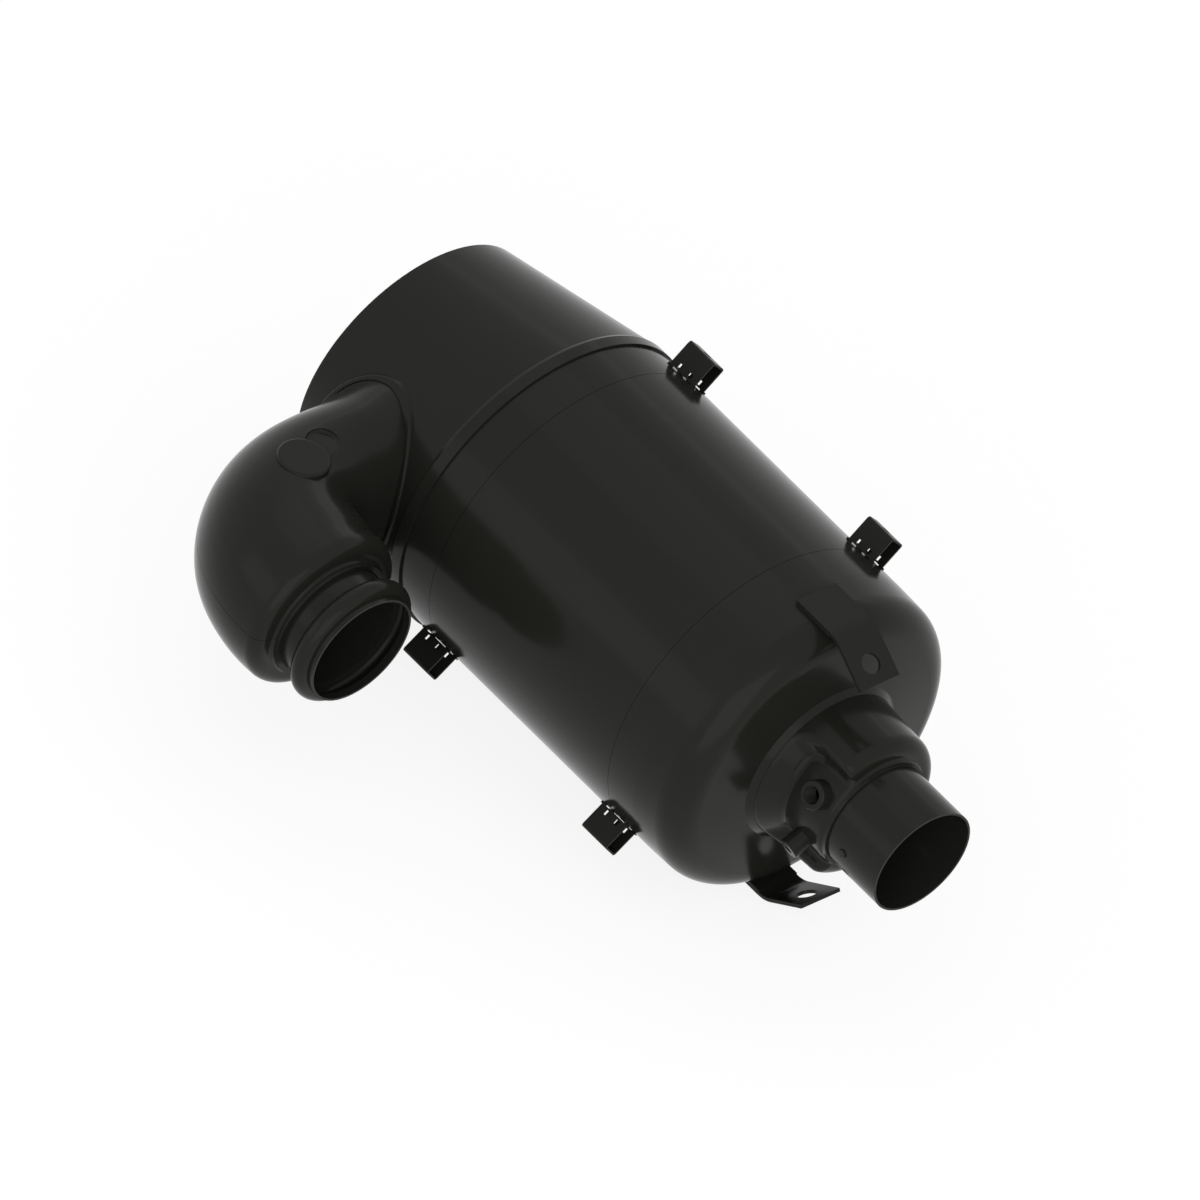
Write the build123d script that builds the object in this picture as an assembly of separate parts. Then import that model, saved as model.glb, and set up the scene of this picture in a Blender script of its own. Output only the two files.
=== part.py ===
from build123d import *

import os
from math import cos, degrees, radians, sin, sqrt, tan

# An engine exhaust silencer canister with a side elbow inlet and a straight outlet pipe.
# The row frame: origin at the centre of the outlet pipe's mouth, +X along the canister's
# axis out of the outlet, +Z through the upper strap, and the inlet elbow towards -Y.
# All sizes are millimetres. Places along the axis, named setback, are worked out as distances
# behind the outlet mouth, so they are used with a minus sign. A size named from something is
# measured from it: the neck's collar, the dome's face, the outlet seam or the closed end.

# Outlet pipe and neck
outlet_pipe_diameter = 101.6
outlet_pipe_wall = 2.0
outlet_pipe_length = 61.3
outlet_pipe_insertion = 10.0
outlet_clearance = 0.15
pip_diameter = 8.0
pip_height = 1.6
pip_setback = 42.2
pip_angle = -96.0
neck_wall = 2.0
neck_collar_length = 6.0
neck_length = 66.6
neck_mouth_radius = 70.3
neck_root_radius = 74.0
neck_foot_radius = 79.0
neck_insertion = 6.0
neck_clearance = 0.15
neck_shoulder_radius = 13.0
neck_throat_radius = 3.0

# Recess pressed in the neck's side for the two bosses: a sector with a round floor
recess_angle = -90.0
recess_half_angle = 54.0
recess_floor_radius = 55.0
recess_length = 45.7
recess_lean = 0.8
recess_corner_radius = 16.0
recess_foot_radius = 7.0
recess_edge_radius = 7.0

# Sensor boss and pressure tapping boss
sensor_boss_diameter = 25.4
sensor_boss_hole = 16.0
sensor_boss_angle = -72.0
sensor_boss_reach = 63.5
sensor_boss_from_collar = 18.2
sensor_boss_aside = 7.7
pressure_boss_diameter = 19.5
pressure_boss_hole = 8.0
pressure_boss_angle = -120.0
pressure_boss_reach = 71.5
pressure_boss_from_collar = 21.5
boss_insertion = 1.0
boss_clearance = 0.1
boss_chamfer = 1.0

# Body jackets and outlet dome
jacket_diameter = 297.0
jacket_wall = 1.6
seam_gap = 0.4
dome_wall = 2.0
dome_depth = 93.2
dome_skirt_length = 33.1
dome_taper_drop = 1.2
dome_knuckle_radius = 28.0
dome_face_slope = 7.0
main_jacket_length = 233.3
front_jacket_length = 37.1

# Inlet cone, end plate and saddle
cone_wall = 2.0
collar_length = 13.6
collar_joggle = 3.0
collar_step = 1.4
collar_overlap = 10.0
collar_clearance = 0.15
cone_length = 170.4
cone_end_diameter = 240.0
end_plate_thickness = 2.5
end_plate_lip = 12.0
end_plate_bend = 2.0
end_plate_clearance = 0.15
saddle_from_end = 86.7
saddle_half_axial = 66.0
saddle_half_across = 86.0
saddle_height = 3.5
saddle_edge = 2.0
saddle_gap = 0.6

# Elbow, in the plane that holds the canister's axis and the spigot's axis
sheet = 2.0
halves_gap = 0.1
halves_overlap = 8.0
spigot_standoff = 121.5
elbow_root_depth = 43.5
elbow_half_across = 80.5
elbow_heel_from_end = 31.9
elbow_throat_from_end = 147.6
elbow_end_run = 9.0
elbow_end_radius = 76.4
heel_radius = 155.0
heel_flare = 9.0
heel_flare_rise = 11.5
heel_flare_radius = 40.0
throat_radius = 14.0
elbow_shoulder = 12.5
elbow_lip_length = 7.0
elbow_lip_radius = 57.6
lip_root_radius = 3.0
elbow_sections = 9

# Round pressings in the elbow's upper half: a raised flat pad over the edge of a small dish.
# They are placed from the spigot: behind the elbow's end, and inward from the spigot's axis.
pad_diameter = 46.0
pad_behind = 87.0
pad_inward = 36.2
pad_top = 80.5
dish_diameter = 30.0
dish_behind = 95.3
dish_inward = 64.3
dish_floor = 76.5
pressing_edge = 2.5

# Inlet spigot
spigot_bore = 101.2
spigot_wall = 2.0
spigot_clearance = 0.15
spigot_standout = 46.2
spigot_insertion = 24.0
spigot_bead_height = 9.0
spigot_bead_width = 18.0
spigot_bead_setback = 14.0

# Straps
strap_width = 42.5
strap_thickness = 3.2
strap_seat_length = 51.0
strap_seat_from_face = 51.1
strap_arm_length = 48.5
strap_angle = -2.4
strap_bend_angle = 33.0
strap_bend_radius = 30.0
strap_hole = 18.0
strap_hole_from_end = 18.0

# Clip brackets over the jacket seams
clip_length = 31.5
clip_width = 20.0
clip_height = 26.0
clip_offset = 4.2
clip_sheet = 1.6
clip_bend = 1.2
clip_hole = 8.5
clip_window = 4.4
clip_window_pitch = 12.6
clip_window_height = 4.4
clip_foot_length = 4.0
clip_foot_gap = 0.5
clip_tab_reach = 1.8
clip_tab_height = 1.6
clip_tab_thickness = 1.0
upper_clip_angle = 42.0
lower_clip_angle = -133.5

# Core: bricks, mats, can, insulation and the plates that carry them
insulation_thickness = 7.05
brick_length = 101.6
brick_spacing = 12.0
mat_thickness = 5.0
can_wall = 1.5
can_overhang = 18.0
core_from_seam = 9.7
insulation_clearance = 0.2
ring_thickness = 2.0
ring_flange = 10.0
ring_clearance = 0.1
baffle_thickness = 2.0
baffle_rim = 10.0
baffle_hole = 20.0
baffle_ring_count = 3
baffle_ring_pitch = 38.0
baffle_gap = 24.0


# Places that follow from the sizes
jacket_radius = jacket_diameter / 2
jacket_bore = jacket_radius - jacket_wall
outlet_pipe_radius = outlet_pipe_diameter / 2
neck_collar_end = outlet_pipe_length + neck_collar_length
recess_foot_setback = neck_collar_end + recess_length
sensor_boss_setback = neck_collar_end + sensor_boss_from_collar
pressure_boss_setback = neck_collar_end + pressure_boss_from_collar
dome_face_setback = neck_collar_end + neck_length
strap_seat_setback = dome_face_setback + strap_seat_from_face
outlet_seam = dome_face_setback + dome_depth
core_setback = outlet_seam + core_from_seam
inlet_seam = outlet_seam + main_jacket_length
collar_edge = inlet_seam + front_jacket_length
cone_end = collar_edge + cone_length
cone_end_radius = cone_end_diameter / 2
collar_start = collar_edge + collar_length
collar_radius = jacket_radius + collar_clearance + cone_wall
spigot_radius = spigot_bore / 2 + spigot_wall
spigot_offset = jacket_radius + spigot_standoff
elbow_root = jacket_radius - elbow_root_depth
saddle_setback = cone_end - saddle_from_end
elbow_heel_setback = cone_end - elbow_heel_from_end
elbow_throat_setback = cone_end - elbow_throat_from_end
elbow_end_setback = elbow_heel_setback - heel_radius - elbow_end_run
spigot_mouth_setback = elbow_end_setback - elbow_shoulder - spigot_standout
can_radius = jacket_bore - insulation_thickness
can_bore = can_radius - can_wall
brick_radius = can_bore - mat_thickness


def turned(points, across=0.0):
    """A solid of revolution. Points are (distance behind the outlet mouth, radius)."""
    outline = Polyline(*[(-back, radius - across) for back, radius in points], close=True)
    return revolve(make_face(outline), Axis((0, -across, 0), (1, 0, 0)))


def tube(back, front, outer, inner, across=0.0):
    """A plain tube along the axis, from one distance behind the mouth to another."""
    return turned([(back, inner), (back, outer), (front, outer), (front, inner)], across)


def facing(angle, shape):
    """Turns a shape made round +Z to an angle about the canister's axis, towards +Y."""
    return Rot(X=-angle) * shape


def post(diameter, bottom, top, back, aside=0.0):
    """A round post along +Z, standing on the axis's plane at a place along the canister."""
    return Pos(-back, aside, (bottom + top) / 2) * Cylinder(diameter / 2, top - bottom)


# Outlet end
def outlet_pipe():
    back = outlet_pipe_length + outlet_pipe_insertion
    pipe = tube(back, 0, outlet_pipe_radius, outlet_pipe_radius - outlet_pipe_wall)
    pip_top = outlet_pipe_radius + pip_height
    pip = post(pip_diameter, outlet_pipe_radius - outlet_pipe_wall / 2, pip_top, pip_setback)
    pip = fillet(pip.edges().filter_by(GeomType.CIRCLE).sort_by(Axis.Z)[-1], pip_height / 2)
    return pipe + facing(pip_angle, pip)


def neck_form(inset):
    """The neck's solid form, drawn in by inset on every side. The outer skin is at 0."""
    root = dome_face_setback + neck_insertion
    collar = outlet_pipe_radius + outlet_clearance + neck_wall - inset
    shoulder = neck_collar_end + inset
    profile = FilletPolyline(
        (-root, neck_root_radius - inset),
        (-shoulder, neck_mouth_radius - inset),
        (-shoulder, collar),
        (-outlet_pipe_length, collar),
        radius=[neck_shoulder_radius - inset, neck_throat_radius + inset],
    )
    closing = Polyline(profile @ 1, (-outlet_pipe_length, 0), (-root, 0), profile @ 0)
    form = revolve(make_face(profile + closing), Axis.X) - recess_cutter(inset)
    rims = form.edges().filter_by(lambda edge: is_recess_rim(edge @ 0.5, inset))
    return fillet(rims, recess_edge_radius - inset)


def recess_cutter(inset):
    """What is taken off the neck's side to leave the recess: a sector with rounded corners and foot."""
    floor = recess_floor_radius - inset
    top = neck_root_radius + recess_foot_radius
    foot = recess_foot_setback + inset * (sqrt(1 + recess_lean**2) - recess_lean)
    half = recess_half_angle + degrees(inset / neck_mouth_radius)
    back = foot + recess_lean * (top - floor)
    outline = Polyline((0, floor), (-foot, floor), (-back, top), (0, top), close=True)
    sector = revolve(make_face(outline), Axis.X, revolution_arc=2 * half)
    corners = sector.edges().filter_by(GeomType.LINE).filter_by(lambda edge: -back < (edge @ 0.5).X < -foot)
    sector = fillet(corners, recess_corner_radius + inset)
    low = sector.edges().filter_by(lambda edge: off_axis(edge @ 0.5) < floor + 0.6 and (edge @ 0.5).X < -1)
    sector = fillet(low, recess_foot_radius + inset)
    return facing(recess_angle - 90 + half, sector)


def off_axis(point):
    return sqrt(point.Y**2 + point.Z**2)


def is_recess_rim(point, inset):
    """True for a point on the edges that the recess leaves on the drum's skin."""
    back = -point.X
    slope = (neck_root_radius - neck_mouth_radius) / (dome_face_setback + neck_insertion - neck_collar_end)
    skin = neck_mouth_radius - inset + slope * (back - neck_collar_end)
    on_skin = abs(off_axis(point) - skin) < 0.5 and back < dome_face_setback
    return on_skin and point.Y < -recess_floor_radius / 2


def outlet_neck():
    """The pressed neck: a flared drum with a rounded shoulder, a recess and a weld at its foot."""
    neck = neck_form(0) - neck_form(neck_wall)
    neck += neck_foot()
    neck -= tube(neck_collar_end, 0, outlet_pipe_radius + outlet_clearance, 0)
    neck -= facing(sensor_boss_angle, sensor_bore(sensor_boss_diameter + 2 * boss_clearance))
    return neck - facing(pressure_boss_angle, pressure_bore(pressure_boss_diameter + 2 * boss_clearance))


def neck_foot():
    """The concave weld round the neck's root, seated on the dome's face."""
    reach = neck_foot_radius - neck_root_radius
    top = dome_face_setback - reach
    weld = turned([
        (dome_face_setback + reach, neck_root_radius - neck_wall / 2),
        (dome_face_setback + reach, neck_foot_radius),
        (dome_face_setback, neck_foot_radius),
        (top, neck_root_radius),
        (top, neck_root_radius - neck_wall / 2),
    ])
    return weld - dome_form(0)


def sensor_bore(diameter):
    return post(diameter, 0, 2 * neck_root_radius, sensor_boss_setback, sensor_boss_aside)


def pressure_bore(diameter):
    return post(diameter, 0, 2 * neck_root_radius, pressure_boss_setback)


def boss_bottom(reach):
    """How low a boss starts, so that it passes through the recess's floor as far out as that reach."""
    return sqrt((recess_floor_radius - neck_wall) ** 2 - reach**2) - boss_insertion


def sensor_boss():
    bottom = boss_bottom(sensor_boss_aside + sensor_boss_diameter / 2)
    boss = post(sensor_boss_diameter, bottom, sensor_boss_reach, sensor_boss_setback, sensor_boss_aside)
    boss = chamfer(boss.edges().sort_by(Axis.Z)[-1], boss_chamfer)
    return facing(sensor_boss_angle, boss - sensor_bore(sensor_boss_hole))


def pressure_boss():
    bottom = boss_bottom(pressure_boss_diameter / 2)
    boss = post(pressure_boss_diameter, bottom, pressure_boss_reach, pressure_boss_setback)
    boss = chamfer(boss.edges().sort_by(Axis.Z)[-1], boss_chamfer)
    return facing(pressure_boss_angle, boss - pressure_bore(pressure_boss_hole))


def dome_form(inset):
    """The dished end's solid form: skirt, slight taper, knuckle and shallow face."""
    rise = (jacket_radius - neck_foot_radius) * tan(radians(dome_face_slope))
    corner = dome_face_setback + rise + inset
    profile = FilletPolyline(
        (-outlet_seam, jacket_radius - inset),
        (-outlet_seam + dome_skirt_length, jacket_radius - inset),
        (-corner, jacket_radius - dome_taper_drop - inset),
        (-dome_face_setback - inset, neck_foot_radius),
        (-dome_face_setback - inset, 0),
        radius=[0, dome_knuckle_radius - inset, 0],
    )
    return revolve(make_face(profile + Polyline(profile @ 1, (-outlet_seam, 0), profile @ 0)), Axis.X)


def outlet_dome():
    dome = dome_form(0) - dome_form(dome_wall)
    dome -= tube(outlet_seam + seam_gap, outlet_seam - seam_gap / 2, jacket_radius + 1, 0)
    return dome - tube(outlet_seam, 0, neck_root_radius + neck_clearance, 0)


# Body jackets and inlet cone
def jacket(back, front):
    return tube(back, front, jacket_radius, jacket_bore)


def main_jacket():
    return jacket(inlet_seam - seam_gap / 2, outlet_seam + seam_gap / 2)


def front_jacket():
    return jacket(collar_edge + collar_overlap, inlet_seam + seam_gap / 2)


def cone_form(inset):
    """The inlet end's solid form: a cone that steps out into a straight collar."""
    profile = Polyline(
        (-cone_end, cone_end_radius - inset),
        (-collar_start, collar_radius - collar_step - inset),
        (-collar_start + collar_joggle, collar_radius - inset),
        (-collar_edge, collar_radius - inset),
        (-collar_edge, 0),
        (-cone_end, 0),
        close=True,
    )
    return revolve(make_face(profile), Axis.X)


def inlet_cone():
    """The sheet cone and collar, with an oval port under the elbow."""
    cone = cone_form(0) - cone_form(cone_wall)
    return cone - elbow_form(2 * sheet + halves_gap)


def rear_end_plate():
    """The flanged plate inside the cone's small end."""
    radius = cone_end_radius - cone_wall - end_plate_clearance
    plate = tube(cone_end, cone_end - end_plate_lip, radius, 0)
    plate -= tube(cone_end - end_plate_thickness, 0, radius - end_plate_thickness, 0)
    return fillet(plate.edges().sort_by(Axis.X)[0], end_plate_bend)


def inlet_saddle():
    """The raised oval collar on the cone round the elbow's root, with a rounded outer edge."""
    oval = extrude(Ellipse(saddle_half_axial, saddle_half_across), spigot_offset)
    saddle = cone_form(-saddle_height) & (Pos(-saddle_setback, 0, 0) * (Plane.XZ * oval))
    rim = saddle.edges().filter_by_position(Axis.Y, -spigot_offset, -saddle_half_across)
    saddle = fillet(rim, saddle_edge) - cone_form(0)
    return saddle - elbow_form(-saddle_gap)


# Elbow and spigot
def elbow_rails():
    """The heel and the throat of the elbow in its middle plane, from the root to the end."""
    flare_top = jacket_radius + heel_flare_rise
    heel_end = -spigot_offset - elbow_end_radius
    throat_end = -spigot_offset + elbow_end_radius
    heel = FilletPolyline(
        (-elbow_heel_setback - heel_flare, -elbow_root),
        (-elbow_heel_setback, -flare_top),
        (-elbow_heel_setback, heel_end),
        (-elbow_end_setback, heel_end),
        radius=[heel_flare_radius, heel_radius],
    )
    throat = FilletPolyline(
        (-elbow_throat_setback, -elbow_root),
        (-elbow_throat_setback, throat_end),
        (-elbow_end_setback, throat_end),
        radius=throat_radius,
    )
    return heel, throat


def elbow_form(inset):
    """The elbow's solid form, lofted through ovals that turn from the root to the round end."""
    heel, throat = elbow_rails()
    ovals = []
    for step in range(elbow_sections):
        along = step / (elbow_sections - 1)
        outside, inside = heel @ along, throat @ along
        chord = inside - outside
        across = elbow_half_across + (elbow_end_radius - elbow_half_across) * along**2
        plane = Plane((outside + inside) / 2, x_dir=chord, z_dir=chord.cross(Vector(0, 0, 1)))
        ovals.append(plane * scale(Circle(1), (chord.length / 2 - inset, across - inset, 1)))
    return pressed(loft(ovals) + elbow_end_form(inset), inset)


def elbow_end_form(inset):
    """The rounded end of the elbow, and the lip that is filled with weld down to the spigot."""
    shoulder = -elbow_end_setback + elbow_shoulder
    lip_end = shoulder + elbow_lip_length
    lip = elbow_lip_radius if inset <= 0 else spigot_radius + spigot_clearance
    profile = FilletPolyline(
        (-elbow_end_setback, elbow_end_radius - inset),
        (shoulder - inset, elbow_end_radius - inset),
        (shoulder - inset, lip),
        (lip_end, lip),
        radius=[elbow_shoulder - inset - 0.01, lip_root_radius],
    )
    closing = Polyline(profile @ 1, (lip_end, 0), (-elbow_end_setback, 0), profile @ 0)
    form = revolve(make_face(profile + closing), Axis.X)
    return Pos(0, -spigot_offset, 0) * form


def pressed(form, inset):
    """The elbow with the dish and the flat pad pressed in its upper side."""
    upright = (Align.CENTER, Align.CENTER, Align.MIN)
    dish = Cylinder(dish_diameter / 2 + inset, pad_top, align=upright)
    dish = fillet(dish.edges().sort_by(Axis.Z)[0], pressing_edge + inset)
    dish = Pos(-elbow_end_setback - dish_behind, dish_inward - spigot_offset, dish_floor - inset) * dish
    pad = Cylinder(pad_diameter / 2 - inset, pad_top - inset, align=upright)
    pad = fillet(pad.edges().sort_by(Axis.Z)[-1], pressing_edge)
    return form - dish + Pos(-elbow_end_setback - pad_behind, pad_inward - spigot_offset, 0) * pad


def between(low, high, form):
    """The slice of a form between two heights."""
    slab = Box(2 * cone_end, 2 * cone_end, high - low, align=(Align.CENTER, Align.CENTER, Align.MIN))
    return form & (Pos(0, 0, low) * slab)


def elbow_half(outer, inner):
    """A pressed half from its outer and inner forms, cut to the cone and to the spigot."""
    half = outer - inner - cone_form(0)
    return half - tube(elbow_end_setback, 0, spigot_radius + spigot_clearance, 0, across=spigot_offset)


def elbow_upper_half():
    return elbow_half(between(0, spigot_offset, elbow_form(0)), elbow_form(sheet))


def elbow_lower_half():
    """The lower pressing, flush under the seam, with a joggled tongue inside the upper half."""
    tongue = sheet + halves_gap
    step = -seam_gap - sheet
    outer = between(-spigot_offset, -seam_gap, elbow_form(0))
    outer += between(2 * step, halves_overlap, elbow_form(tongue))
    inner = between(-spigot_offset, step, elbow_form(sheet))
    inner += between(2 * step, 2 * halves_overlap, elbow_form(tongue + sheet))
    return elbow_half(outer, inner)


def inlet_spigot():
    """The turned tube in the elbow's mouth, with a rolled bead behind its end."""
    back = elbow_end_setback - elbow_shoulder + spigot_insertion
    skins = [spigot_skin(back, inset) for inset in (0, spigot_wall)]
    return Pos(0, -spigot_offset, 0) * (skins[0] - skins[1])


def spigot_skin(back, inset):
    radius = spigot_radius - inset
    bead = -spigot_mouth_setback - spigot_bead_setback
    half = spigot_bead_width / 2 - inset
    rise = ThreePointArc(
        (bead - half, radius),
        (bead, radius + spigot_bead_height),
        (bead + half, radius),
    )
    mouth = -spigot_mouth_setback
    straight = Line((-back, radius), rise @ 0)
    closing = Polyline(rise @ 1, (mouth, radius), (mouth, 0), (-back, 0), straight @ 0)
    return revolve(make_face(straight + rise + closing), Axis.X)


# Straps and clips
def strap():
    """A flat strap seated on the jacket and bent in towards the outlet, made on +Z."""
    top = jacket_radius + strap_thickness
    bend = -strap_seat_setback + strap_seat_length
    turn = radians(strap_bend_angle)
    tip_x = bend + strap_arm_length * cos(turn)
    tip_z = top - strap_arm_length * sin(turn)
    outline = FilletPolyline(
        (-strap_seat_setback, top),
        (bend, top),
        (tip_x, tip_z),
        (tip_x - strap_thickness * sin(turn), tip_z - strap_thickness * cos(turn)),
        (bend - strap_thickness * tan(turn / 2), top - strap_thickness),
        (-strap_seat_setback, top - strap_thickness),
        radius=[0, strap_bend_radius, 0, 0, strap_bend_radius - strap_thickness, 0],
        close=True,
    )
    plate = extrude(Plane.XZ * make_face(outline), strap_width / 2, both=True)
    return facing(strap_angle, plate + strap_seat() - strap_hole_cutter(tip_x, tip_z, turn))


def strap_seat():
    """The weld metal that fills the strap's seat down to the round jacket."""
    depth = jacket_radius - sqrt(jacket_radius**2 - (strap_width / 2) ** 2)
    length = strap_seat_length - strap_bend_radius * tan(radians(strap_bend_angle / 2))
    pad = Box(length, strap_width, depth, align=(Align.MIN, Align.CENTER, Align.MAX))
    pad = Pos(-strap_seat_setback, 0, jacket_radius) * pad
    return pad - tube(strap_seat_setback + 1, 0, jacket_radius, 0)


def strap_hole_cutter(tip_x, tip_z, turn):
    x = tip_x - strap_hole_from_end * cos(turn)
    z = tip_z + strap_hole_from_end * sin(turn)
    drill = Cylinder(strap_hole / 2, 4 * strap_thickness)
    return Pos(x, 0, z) * (Rot(Y=strap_bend_angle) * drill)


def upper_strap():
    return strap()


def lower_strap():
    return Rot(X=180) * strap()


def clip(seam, angle):
    """A folded channel bracket over a seam, open at both ends, made on +Z and turned."""
    top = jacket_radius + clip_height
    foot = sqrt(jacket_radius**2 - (clip_width / 2) ** 2)
    hang = (Align.CENTER, Align.CENTER, Align.MAX)
    channel = Pos(0, 0, top) * Box(clip_length, clip_width, top - foot, align=hang)
    channel = fillet(channel.edges().filter_by(Axis.X).group_by(Axis.Z)[-1], clip_bend + clip_sheet)
    hollow = Pos(0, 0, top - clip_sheet) * Box(2 * clip_length, clip_width - 2 * clip_sheet, top, align=hang)
    channel -= fillet(hollow.edges().filter_by(Axis.X).group_by(Axis.Z)[-1], clip_bend)
    channel += clip_tabs(foot)
    channel -= Pos(0, 0, top) * Cylinder(clip_hole / 2, 4 * clip_sheet)
    gap = Box(clip_length - 2 * clip_foot_length, 2 * clip_width, 2 * clip_foot_gap)
    channel -= Pos(0, 0, jacket_radius) * gap
    for side in (-1, 1):
        window = Box(clip_window, 2 * clip_width, clip_window)
        channel -= Pos(side * clip_window_pitch / 2, 0, jacket_radius + clip_window_height) * window
    channel = Pos(-seam - clip_offset, 0, 0) * channel
    return facing(angle, channel - tube(seam + 2 * clip_length, seam - clip_length, jacket_radius, 0))


def clip_tabs(foot):
    """The small locating tabs at the ends of the walls' feet."""
    tab = Box(clip_length + 2 * clip_tab_reach, clip_tab_thickness, clip_tab_height,
              align=(Align.CENTER, Align.CENTER, Align.MIN))
    return [Pos(0, side * (clip_width - clip_tab_thickness) / 2, foot) * tab for side in (-1, 1)]


# Core
def core_back():
    return core_setback + 2 * brick_length + brick_spacing


def brick(front):
    return tube(front + brick_length, front, brick_radius, 0)


def mat(front):
    return tube(front + brick_length, front, can_bore, brick_radius)


def core_can():
    return tube(core_back() + can_overhang, core_setback - can_overhang, can_radius, can_bore)


def insulation_blanket():
    back = core_back() + can_overhang - ring_flange
    front = core_setback - can_overhang + ring_flange
    return tube(back, front, jacket_bore - insulation_clearance, can_radius + insulation_clearance)


def core_ring(end, seat, inward):
    """The flanged ring that carries one end of the can in the shell. The seat is the shell's bore."""
    hole = can_radius + ring_clearance
    rim = seat - ring_clearance
    side = 1 if inward else -1
    far = end + side * ring_thickness
    lip = end - side * ring_flange
    return turned([
        (far, hole - can_wall),
        (far, rim),
        (lip, rim),
        (lip, rim - ring_thickness),
        (end, rim - ring_thickness),
        (end, hole - can_wall),
    ])


def brick_spacer():
    """The wire ring between the mats that keeps the bricks apart."""
    front = core_setback + brick_length
    return tube(front + brick_spacing, front, can_bore, can_bore - 2 * mat_thickness)


def inlet_baffle():
    """The perforated plate across the shell, with a rim turned towards the outlet."""
    back = core_back() + can_overhang + baffle_gap
    radius = jacket_bore - ring_clearance
    plate = tube(back, back - baffle_rim, radius, 0)
    plate -= tube(back - baffle_thickness, 0, radius - baffle_thickness, 0)
    for ring in range(baffle_ring_count + 1):
        for index in range(max(1, 6 * ring)):
            turn = radians(60 * index / max(1, ring))
            y, z = ring * baffle_ring_pitch * sin(turn), ring * baffle_ring_pitch * cos(turn)
            plate -= Pos(-back, y, z) * (Rot(Y=90) * Cylinder(baffle_hole / 2, 4 * baffle_thickness))
    return plate


pieces = {
    "inlet_cone": inlet_cone(),
    "rear_end_plate": rear_end_plate(),
    "inlet_saddle": inlet_saddle(),
    "elbow_upper_half": elbow_upper_half(),
    "elbow_lower_half": elbow_lower_half(),
    "inlet_spigot": inlet_spigot(),
    "front_jacket": front_jacket(),
    "main_jacket": main_jacket(),
    "outlet_dome": outlet_dome(),
    "outlet_neck": outlet_neck(),
    "outlet_pipe": outlet_pipe(),
    "sensor_boss": sensor_boss(),
    "pressure_boss": pressure_boss(),
    "upper_strap": upper_strap(),
    "lower_strap": lower_strap(),
    "clip_bracket_inlet_upper": clip(inlet_seam, upper_clip_angle),
    "clip_bracket_inlet_lower": clip(inlet_seam, lower_clip_angle),
    "clip_bracket_outlet_upper": clip(outlet_seam, upper_clip_angle),
    "clip_bracket_outlet_lower": clip(outlet_seam, lower_clip_angle),
    "inlet_baffle": inlet_baffle(),
    "core_can": core_can(),
    "insulation_blanket": insulation_blanket(),
    "inlet_core_ring": core_ring(core_back() + can_overhang, jacket_bore, True),
    "outlet_core_ring": core_ring(core_setback - can_overhang, jacket_radius - dome_wall, False),
    "inlet_brick": brick(core_setback + brick_length + brick_spacing),
    "outlet_brick": brick(core_setback),
    "inlet_mat": mat(core_setback + brick_length + brick_spacing),
    "outlet_mat": mat(core_setback),
    "brick_spacer": brick_spacer(),
}

os.makedirs("parts", exist_ok=True)
for name, piece in pieces.items():
    export_step(piece, f"parts/{name}.step")
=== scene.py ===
# %% [markdown]
# # An engine exhaust silencer, dressed on its CAD frame
# The real object is a sheet steel canister with an elbow for an inlet, a straight outlet pipe
# and small brackets, all under one satin black heat coating. Its shapes come from the CAD
# model. This lesson gives it a camera, light, a coating that behaves like sprayed paint, and
# the screw threads that are too fine for the CAD solids.
#
# One Blender unit is a metre, and the frame is the CAD's: the origin is the middle of the
# outlet pipe's mouth, +X points out of it and the inlet elbow is towards -Y.

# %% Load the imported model
import math

import bpy
from mathutils import Matrix, Vector


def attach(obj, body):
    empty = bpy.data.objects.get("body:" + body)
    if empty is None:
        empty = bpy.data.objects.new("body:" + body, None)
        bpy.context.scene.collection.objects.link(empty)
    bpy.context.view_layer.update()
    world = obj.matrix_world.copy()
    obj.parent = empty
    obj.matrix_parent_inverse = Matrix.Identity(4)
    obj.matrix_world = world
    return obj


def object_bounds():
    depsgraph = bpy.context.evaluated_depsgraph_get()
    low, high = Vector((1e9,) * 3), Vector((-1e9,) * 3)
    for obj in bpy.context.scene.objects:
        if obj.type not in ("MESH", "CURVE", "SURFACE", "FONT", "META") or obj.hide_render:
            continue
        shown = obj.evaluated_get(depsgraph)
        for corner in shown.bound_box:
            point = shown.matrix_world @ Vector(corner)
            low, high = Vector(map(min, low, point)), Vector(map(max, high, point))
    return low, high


MM = 0.001

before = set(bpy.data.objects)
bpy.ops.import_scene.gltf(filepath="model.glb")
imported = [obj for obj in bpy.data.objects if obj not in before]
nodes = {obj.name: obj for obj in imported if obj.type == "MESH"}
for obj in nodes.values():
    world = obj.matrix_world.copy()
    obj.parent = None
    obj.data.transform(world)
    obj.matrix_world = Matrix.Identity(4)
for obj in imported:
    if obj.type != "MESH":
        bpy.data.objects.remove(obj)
cad_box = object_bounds()
print("CAD nodes:", len(nodes), "box:", [round(v, 3) for corner in cad_box for v in corner])

# %% [markdown]
# ## Camera
# The photograph has no vanishing points: edges that are parallel on the canister stay parallel
# in the picture. A perspective camera far away would come close, but an orthographic one shows
# it exactly. Two angles turn it round the canister, and a small roll about the line of sight
# tips the canister the way the picture has it.

# %% Camera directions
camera_azimuth = math.radians(38.24)
camera_elevation = math.radians(40.60)
camera_roll = math.radians(17.34)

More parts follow.
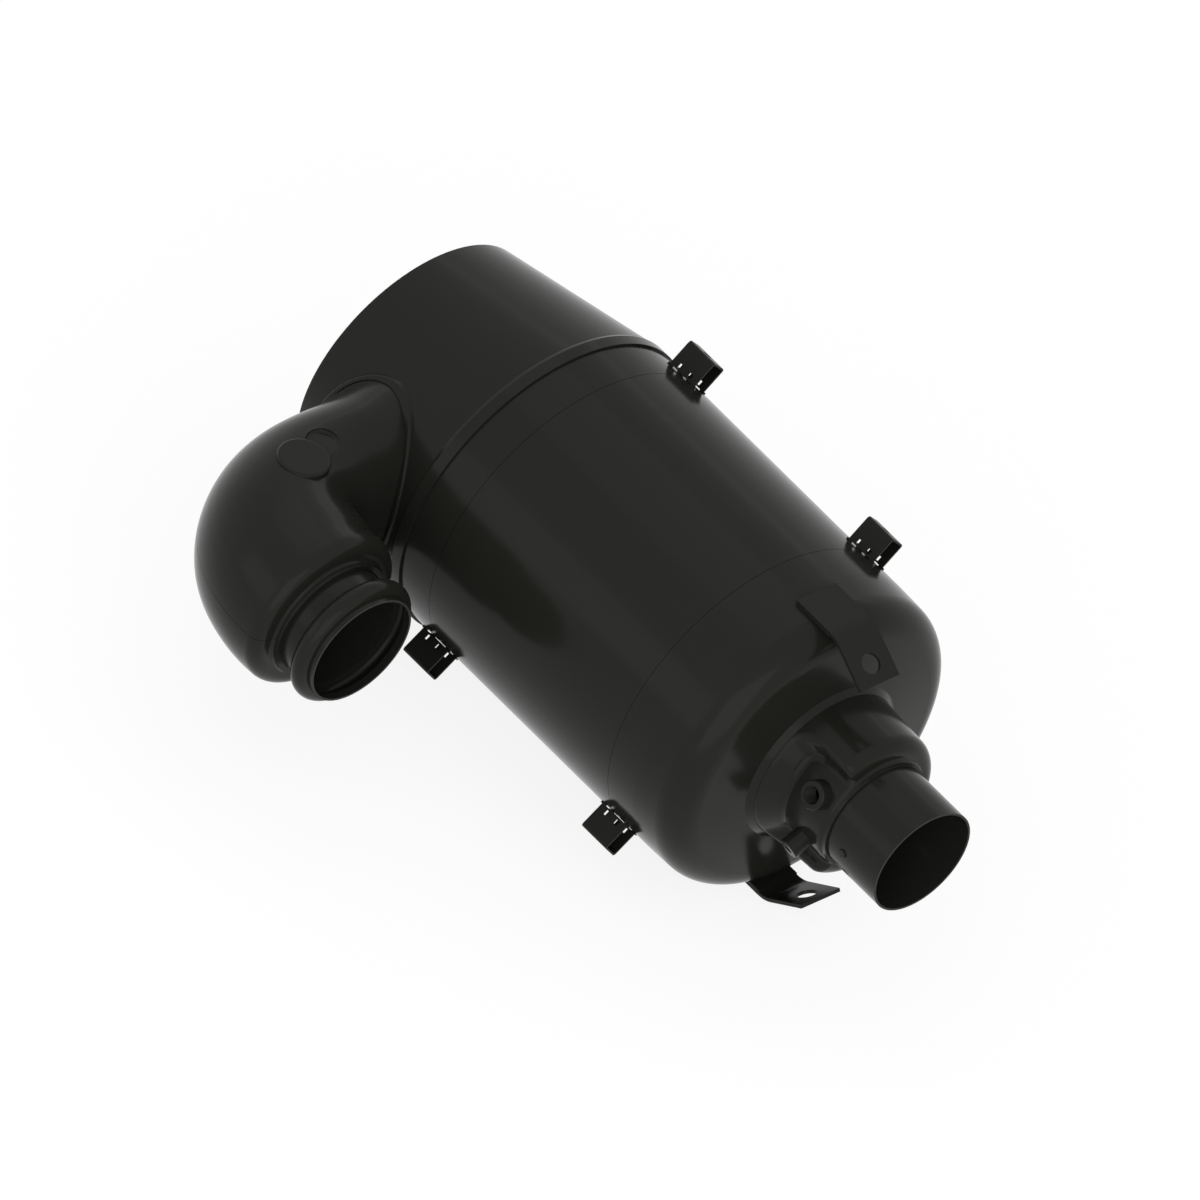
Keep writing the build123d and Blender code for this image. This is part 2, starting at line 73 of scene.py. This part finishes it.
away = Vector((
    math.sin(camera_azimuth) * math.cos(camera_elevation),
    -math.cos(camera_azimuth) * math.cos(camera_elevation),
    math.sin(camera_elevation),
))
level_right = Vector((math.cos(camera_azimuth), math.sin(camera_azimuth), 0))
right = Matrix.Rotation(camera_roll, 3, away) @ level_right
up = away.cross(right)
print("towards the camera:", [round(v, 3) for v in away])

# %% [markdown]
# An orthographic camera needs a width in place of a focal length. The picture's width and its
# scale give that, and the middle of the outlet's mouth, right of and below the picture's
# centre, says where the camera points. How far away it stands changes nothing in the picture.

# %% Camera object
picture_width = 1200
pixels_per_metre = 1216.5
mouth_right = 322.1 / pixels_per_metre
mouth_down = 261.9 / pixels_per_metre
camera_distance = 3.0
camera_reach = 30.0

camera_data = bpy.data.cameras.new("photo_camera")
camera_data.type = "ORTHO"
camera_data.ortho_scale = picture_width / pixels_per_metre
camera_data.clip_end = camera_reach
camera = bpy.data.objects.new("photo_camera", camera_data)
bpy.context.scene.collection.objects.link(camera)
bpy.context.scene.camera = camera
bpy.context.scene.view_settings.view_transform = "Standard"

centre = up * mouth_down - right * mouth_right
axes = Matrix((right, up, away)).transposed().to_4x4()
camera.matrix_world = Matrix.Translation(centre + away * camera_distance) @ axes
print("camera at:", [round(v, 3) for v in camera.matrix_world.translation])

# %% [markdown]
# ## Helpers for node materials
# A material is a small program of nodes. These helpers add a node with its settings, fill in
# its inputs and start a material, so that each cell below can show only its idea.

# %% Node helpers
def add_node(tree, kind, **settings):
    made = tree.nodes.new(kind)
    for name, value in settings.items():
        setattr(made, name, value)
    return made


def set_inputs(made, **values):
    for name, value in values.items():
        made.inputs[name.replace("_", " ")].default_value = value
    return made


def new_material(name):
    material = bpy.data.materials.new(name)
    material.use_nodes = True
    tree = material.node_tree
    return material, tree, tree.nodes["Principled BSDF"]


# %% [markdown]
# ## The coating's texture, as a group
# Sprayed heat paint is never mirror flat. Three things show up close: a fine orange peel, a
# slow waviness of the sheet under it, and patches where the film dried a little duller. The
# nodes could be repeated in each material, but two materials need them, so they are one group
# with its own inputs. The group gives out values only; the shader stays in each material.

# %% Group sockets
peel_scale = 420.0
peel_depth = 0.5
wave_depth = 0.4


def add_socket(group, name, direction, default=None):
    socket = group.interface.new_socket(name, in_out=direction, socket_type="NodeSocketFloat")
    if default is not None:
        socket.default_value = default


coat_texture = bpy.data.node_groups.new("coat_texture", "ShaderNodeTree")
add_socket(coat_texture, "Peel Scale", "INPUT", peel_scale)
add_socket(coat_texture, "Peel Depth", "INPUT", peel_depth)
add_socket(coat_texture, "Wave Depth", "INPUT", wave_depth)
add_socket(coat_texture, "Height", "OUTPUT")
add_socket(coat_texture, "Patches", "OUTPUT")
print("group sockets:", len(coat_texture.interface.items_tree))

# %% [markdown]
# The group mixes three noises. A higher scale makes smaller spots: the peel's are two or three
# millimetres across, the sheet's waves some centimetres, and the patches a hand's width.

# %% Group nodes
wave_scale = 22.0
patch_scale = 9.0


def noise(tree, scale, detail, roughness=0.5):
    made = add_node(tree, "ShaderNodeTexNoise")
    return set_inputs(made, Scale=scale, Detail=detail, Roughness=roughness)


def maths(tree, operation, first, second):
    made = add_node(tree, "ShaderNodeMath", operation=operation)
    for socket, value in zip(made.inputs, (first, second)):
        if isinstance(value, bpy.types.NodeSocket):
            tree.links.new(value, socket)
        else:
            socket.default_value = value
    return made.outputs[0]


def fill_coat_texture(tree):
    place = add_node(tree, "ShaderNodeTexCoord").outputs["Object"]
    given = add_node(tree, "NodeGroupInput")
    result = add_node(tree, "NodeGroupOutput")
    peel = noise(tree, peel_scale, detail=1.0)
    wave = noise(tree, wave_scale, detail=0.0)
    patch = noise(tree, patch_scale, detail=4.0, roughness=0.6)
    for made in (peel, wave, patch):
        tree.links.new(place, made.inputs["Vector"])
    tree.links.new(given.outputs["Peel Scale"], peel.inputs["Scale"])
    fine = maths(tree, "MULTIPLY", peel.outputs["Fac"], given.outputs["Peel Depth"])
    slow = maths(tree, "MULTIPLY", wave.outputs["Fac"], given.outputs["Wave Depth"])
    tree.links.new(maths(tree, "ADD", fine, slow), result.inputs["Height"])
    tree.links.new(patch.outputs["Fac"], result.inputs["Patches"])


fill_coat_texture(coat_texture)
print("group nodes:", len(coat_texture.nodes))

# %% [markdown]
# ## Satin black coating
# The coating is nearly black with a faint olive tint, and mostly diffuse. A glossy black paint
# would be the simple guess, but it mirrors the room everywhere. Here a low specular level
# keeps a face that is seen square on dark. At a slanting view any film mirrors more, so the
# rims and edges go bright against the white room. Roughness follows the patches in a narrow
# range, and the peel is a bump of less than a tenth of a millimetre.

# %% Colour and range helpers
noise_low, noise_high = 0.3, 0.7


def map_range(tree, value, low, high):
    made = add_node(tree, "ShaderNodeMapRange")
    set_inputs(made, From_Min=noise_low, From_Max=noise_high, To_Min=low, To_Max=high)
    tree.links.new(value, made.inputs["Value"])
    return made.outputs["Result"]


def mix_colours(tree, amount, first, second):
    made = add_node(tree, "ShaderNodeMix", data_type="RGBA")
    made.inputs["A"].default_value = (*first, 1)
    made.inputs["B"].default_value = (*second, 1)
    tree.links.new(amount, made.inputs["Factor"])
    return made.outputs["Result"]


# %% [markdown]
# The brackets are pressed from other sheet and coated by themselves, so they are a little
# darker and duller. Both coatings come from one function.

# %% Coating materials
gloss_level = 0.1
bump_distance = 0.1 * MM


def coated(name, dark, light, roughness, depths, bump):
    material, tree, shader = new_material(name)
    texture = add_node(tree, "ShaderNodeGroup", node_tree=coat_texture)
    peel, wave = depths
    set_inputs(texture, Peel_Depth=peel, Wave_Depth=wave)
    patches = texture.outputs["Patches"]
    tree.links.new(mix_colours(tree, patches, dark, light), shader.inputs["Base Color"])
    tree.links.new(map_range(tree, patches, *roughness), shader.inputs["Roughness"])
    relief = set_inputs(add_node(tree, "ShaderNodeBump"), Strength=bump, Distance=bump_distance)
    tree.links.new(texture.outputs["Height"], relief.inputs["Height"])
    tree.links.new(relief.outputs["Normal"], shader.inputs["Normal"])
    set_inputs(shader, Specular_IOR_Level=gloss_level)
    return material


black_coating = coated(
    "black_coating",
    dark=(0.0182, 0.0187, 0.0155),
    light=(0.0212, 0.0217, 0.0183),
    roughness=(0.15, 0.20),
    depths=(peel_depth, wave_depth),
    bump=0.10,
)
bracket_coating = coated(
    "bracket_coating",
    dark=(0.0143, 0.0147, 0.0120),
    light=(0.0172, 0.0176, 0.0148),
    roughness=(0.30, 0.40),
    depths=(0.7, 0.2),
    bump=0.20,
)
print("coatings:", black_coating.name, bracket_coating.name)

# %% [markdown]
# ## Materials inside the canister
# The core can't be seen from outside, but someone who cuts the model open, or who looks down
# the inlet, finds what is there: drawn steel sheet, extruded ceramic with its square channels,
# and pressed fibre. Each has one simple pattern at its true scale.
#
# Steel sheet shows fine lines along the way it was drawn. A noise that is stretched thirty to
# one along the axis makes them, with no picture to wrap round the can.

# %% Drawn steel
along_grain, across_grain = 30.0, 900.0


def drawn_steel():
    material, tree, shader = new_material("drawn_steel")
    place = add_node(tree, "ShaderNodeTexCoord").outputs["Object"]
    stretch = add_node(tree, "ShaderNodeMapping")
    set_inputs(stretch, Scale=(along_grain, across_grain, across_grain))
    grain = noise(tree, 1.0, detail=3.0)
    tree.links.new(place, stretch.inputs["Vector"])
    tree.links.new(stretch.outputs["Vector"], grain.inputs["Vector"])
    colour = mix_colours(tree, grain.outputs["Fac"], (0.36, 0.35, 0.33), (0.48, 0.47, 0.45))
    tree.links.new(colour, shader.inputs["Base Color"])
    tree.links.new(map_range(tree, grain.outputs["Fac"], 0.28, 0.45), shader.inputs["Roughness"])
    set_inputs(shader, Metallic=1.0)
    return material


steel_sheet = drawn_steel()
print("material:", steel_sheet.name)

# %% [markdown]
# The brick's channels are open squares, one every 1.3 mm. Cutting some thirty thousand of them
# would only slow the model, so they are painted: a ping-pong of Y and of Z gives the distance to
# the nearest wall, and what lies farther off than half a wall gets a dark painted shade, which
# stands in for the shade down each open channel.

# %% Ceramic brick with square channels
channel_pitch = 1.3 * MM
half_wall = 0.09


def channelled_ceramic():
    material, tree, shader = new_material("channelled_ceramic")
    place = add_node(tree, "ShaderNodeTexCoord").outputs["Object"]
    split = add_node(tree, "ShaderNodeSeparateXYZ")
    tree.links.new(place, split.inputs["Vector"])
    walls = []
    for axis in ("Y", "Z"):
        pitches = maths(tree, "DIVIDE", split.outputs[axis], channel_pitch)
        walls.append(maths(tree, "PINGPONG", pitches, 0.5))
    nearest = maths(tree, "MINIMUM", *walls)
    painted_channel_shade = maths(tree, "GREATER_THAN", nearest, half_wall)
    # the near-black second colour is painted shade for the inside of each open channel
    colour = mix_colours(tree, painted_channel_shade, (0.70, 0.66, 0.58), (0.10, 0.09, 0.08))
    tree.links.new(colour, shader.inputs["Base Color"])
    set_inputs(shader, Roughness=0.9)
    return material


ceramic = channelled_ceramic()
print("material:", ceramic.name)

# %% [markdown]
# The mats and the blanket are felt of short fibres. Hair would be heavy and never be seen, so
# one fine, rough noise gives both the fibres' colour and a shallow bump.

# %% Pressed fibre
fibre_scale = 900.0
fibre_depth = 0.5 * MM


def pressed_fibre():
    material, tree, shader = new_material("pressed_fibre")
    place = add_node(tree, "ShaderNodeTexCoord").outputs["Object"]
    fibres = noise(tree, fibre_scale, detail=5.0, roughness=0.7)
    tree.links.new(place, fibres.inputs["Vector"])
    colour = mix_colours(tree, fibres.outputs["Fac"], (0.62, 0.59, 0.52), (0.84, 0.81, 0.74))
    tree.links.new(colour, shader.inputs["Base Color"])
    relief = set_inputs(add_node(tree, "ShaderNodeBump"), Strength=0.8, Distance=fibre_depth)
    tree.links.new(fibres.outputs["Fac"], relief.inputs["Height"])
    tree.links.new(relief.outputs["Normal"], shader.inputs["Normal"])
    set_inputs(shader, Roughness=0.95)
    return material


fibre = pressed_fibre()
print("material:", fibre.name)

# %% [markdown]
# ## Dress the CAD nodes
# A CAD node keeps its shape and gets a new material in its slots. One table says which finish
# each family of names takes; whatever isn't in the table is coated outside sheet.

# %% Assign the materials
FINISHES = {
    "clip_bracket": bracket_coating,
    "inlet_baffle": steel_sheet,
    "core_can": steel_sheet,
    "inlet_core_ring": steel_sheet,
    "outlet_core_ring": steel_sheet,
    "brick_spacer": steel_sheet,
    "inlet_brick": ceramic,
    "outlet_brick": ceramic,
    "inlet_mat": fibre,
    "outlet_mat": fibre,
    "insulation_blanket": fibre,
}


def finish_of(name):
    for start, material in FINISHES.items():
        if name.startswith(start):
            return material
    return black_coating


for name, node in nodes.items():
    node.data.materials.clear()
    node.data.materials.append(finish_of(name))
print("dressed:", len(nodes), "nodes")

# %% [markdown]
# ## Screw threads in the two ports
# Both bosses are tapped. A real tap cuts a spiral groove, and what is left between the turns
# is a ridge with a triangular section. A bump would fake it with no outline, and rings would
# not climb. So the ridge is the piece: a small triangle, swept up the bore by the Screw
# modifier, one pitch a turn. Its root is sunk a little in the bore's wall, so that no gap
# shows.

# %% Thread maker
thread_steps = 36
root_overlap = 0.05 * MM
ridge_depth = 0.54
ridge_foot, ridge_head = 0.08, 0.92


def thread_ridge(name, bore_radius, pitch, bottom, top):
    bpy.ops.object.select_all(action="DESELECT")
    depth = ridge_depth * pitch
    bpy.ops.mesh.primitive_circle_add(vertices=3, radius=depth, fill_type="NGON", location=(0, 0, 0))
    ridge = bpy.context.object
    ridge.name = ridge.data.name = name
    tip, upper, lower = ridge.data.vertices
    tip.co = (bore_radius - depth, 0, bottom + pitch / 2)
    upper.co = (bore_radius + root_overlap, 0, bottom + ridge_head * pitch)
    lower.co = (bore_radius + root_overlap, 0, bottom + ridge_foot * pitch)
    turns = int((top - bottom) / pitch) - 1
    screw = ridge.modifiers.new("turns", "SCREW")
    screw.screw_offset = pitch
    screw.iterations = turns
    screw.steps = screw.render_steps = thread_steps
    screw.use_merge_vertices = False
    bpy.ops.object.modifier_apply(modifier=screw.name)
    print(name, "turns:", turns, "faces:", len(ridge.data.polygons))
    return ridge


# %% [markdown]
# A port's place has the CAD's own sizes: its angle round the axis from +Z towards +Y, its
# distance behind the outlet's mouth and to the side of its own plane, and the distances from
# the axis at which its bore begins and ends. The points themselves are moved, so the object
# stays at the origin.

# %% Port sizes
sensor_radius, sensor_pitch = 8.0 * MM, 1.5 * MM
sensor_bottom, sensor_top = 48.0 * MM, 63.5 * MM
sensor_angle = math.radians(-72.0)
sensor_setback, sensor_aside = 85.5 * MM, 7.7 * MM

pressure_radius, pressure_pitch = 4.0 * MM, 1.25 * MM
pressure_bottom, pressure_top = 51.2 * MM, 71.5 * MM
pressure_angle = math.radians(-120.0)
pressure_setback, pressure_aside = 88.8 * MM, 0.0
print("sensor port depth:", round((sensor_top - sensor_bottom) / MM, 1), "mm")


# %% Place the threads on their bosses
def set_in_place(ridge, angle, setback, aside):
    turn = Matrix.Rotation(-angle, 4, "X")
    ridge.data.transform(turn @ Matrix.Translation((-setback, aside, 0)))
    bpy.ops.object.select_all(action="DESELECT")
    ridge.select_set(True)
    bpy.context.view_layer.objects.active = ridge
    bpy.ops.object.mode_set(mode="EDIT")
    bpy.ops.mesh.select_all(action="SELECT")
    bpy.ops.mesh.normals_make_consistent(inside=False)
    bpy.ops.object.mode_set(mode="OBJECT")
    bpy.ops.object.shade_smooth_by_angle(angle=math.radians(30))
    ridge.data.materials.append(bracket_coating)
    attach(ridge, "root")


sensor_thread = thread_ridge(
    "sensor_thread", sensor_radius, sensor_pitch, sensor_bottom, sensor_top
)
set_in_place(sensor_thread, sensor_angle, sensor_setback, sensor_aside)
pressure_thread = thread_ridge(
    "pressure_thread", pressure_radius, pressure_pitch, pressure_bottom, pressure_top
)
set_in_place(pressure_thread, pressure_angle, pressure_setback, pressure_aside)

# %% [markdown]
# ## Floor and background
# The object stands on a pale floor and is seen against white. A floor lit to pure white would
# need so much light that the black coating would go grey. So the floor is white to the camera
# and to reflections through Light Path, with a share of real diffuse light left in, so that
# the soft shadow stays. To all other rays it is plain pale paint.

# %% Light Path mask
def seen_directly(tree):
    rays = add_node(tree, "ShaderNodeLightPath")
    seen = maths(tree, "ADD", rays.outputs["Is Camera Ray"], rays.outputs["Is Glossy Ray"])
    return maths(tree, "MINIMUM", maths(tree, "ADD", seen, rays.outputs["Is Transmission Ray"]), 1.0)


# %% Floor
WHITE = (1, 1, 1, 1)
floor_glow = 0.86
floor_paint = (0.8, 0.8, 0.8, 1)
shadow_share = (0.22, 0.22, 0.22, 1)
floor_size = 16.0
floor_middle = -0.3
floor_gap = 0.5 * MM


def floor_material():
    material, tree, pale = new_material("pale_floor")
    set_inputs(pale, Base_Color=floor_paint, Roughness=0.9)
    white = set_inputs(add_node(tree, "ShaderNodeEmission"), Color=WHITE, Strength=floor_glow)
    shade = set_inputs(add_node(tree, "ShaderNodeBsdfDiffuse"), Color=shadow_share)
    both = add_node(tree, "ShaderNodeAddShader")
    tree.links.new(white.outputs[0], both.inputs[0])
    tree.links.new(shade.outputs[0], both.inputs[1])
    choice = add_node(tree, "ShaderNodeMixShader")
    tree.links.new(seen_directly(tree), choice.inputs["Fac"])
    tree.links.new(pale.outputs[0], choice.inputs[1])
    tree.links.new(both.outputs[0], choice.inputs[2])
    tree.links.new(choice.outputs[0], tree.nodes["Material Output"].inputs["Surface"])
    return material


bpy.ops.object.select_all(action="DESELECT")
floor_level = cad_box[0].z - floor_gap
bpy.ops.mesh.primitive_plane_add(size=floor_size, location=(floor_middle, 0, floor_level))
floor = bpy.context.object
floor.name = "floor"
floor.data.materials.append(floor_material())
print("floor at z =", round(floor_level, 4))

# %% [markdown]
# ## Light
# A black coating shows the room more than it shows light, and the white surroundings already
# draw its edges. So the lamps are weak. The world has two strengths: white to the camera and
# to reflections, and a dimmer, even light on the surfaces.

# %% World
room_light = 0.57

world = bpy.data.worlds.new("studio")
world.use_nodes = True
bpy.context.scene.world = world
tree = world.node_tree
even = tree.nodes["Background"]
set_inputs(even, Color=WHITE, Strength=room_light)
backdrop = set_inputs(add_node(tree, "ShaderNodeBackground"), Color=WHITE, Strength=1.0)
choice = add_node(tree, "ShaderNodeMixShader")
tree.links.new(seen_directly(tree), choice.inputs["Fac"])
tree.links.new(even.outputs[0], choice.inputs[1])
tree.links.new(backdrop.outputs[0], choice.inputs[2])
tree.links.new(choice.outputs[0], tree.nodes["World Output"].inputs["Surface"])
print("world:", world.name)

# %% [markdown]
# The lamps are soft boxes, because a small lamp would make hard spots on the round sheet. One
# broad wall of light beyond the outlet fills the faces that are turned to it. The rest stays
# soft: a box over the canister, a box on the elbow's side, and a long strip behind that draws
# the narrow band along the upper side. Sizes and distances are in metres, power in watts.

# %% Lamps
lit_point = Vector((-0.35, -0.1, 0))


def soft_box(name, towards, distance, width, height, power):
    lamp = bpy.data.lights.new(name, "AREA")
    lamp.shape = "RECTANGLE"
    lamp.size, lamp.size_y, lamp.energy = width, height, power
    placed = bpy.data.objects.new(name, lamp)
    bpy.context.scene.collection.objects.link(placed)
    aim = Vector(towards).normalized()
    placed.location = lit_point + aim * distance
    placed.rotation_mode = "QUATERNION"
    placed.rotation_quaternion = aim.to_track_quat("Z", "Y")
    placed.visible_camera = False
    print(name, "at", [round(v, 2) for v in placed.location])


soft_box("key_box", (-0.47, 0.10, 0.88), distance=2.5, width=1.6, height=1.0, power=1.5)
soft_box("back_strip", (-0.47, 0.72, 0.51), distance=2.5, width=2.4, height=0.14, power=0.7)
soft_box("side_box", (-0.47, -0.85, 0.30), distance=2.5, width=1.6, height=1.0, power=2.5)
soft_box("fill_wall", (0.75, -0.60, 0.28), distance=3.0, width=3.0, height=3.0, power=26.0)
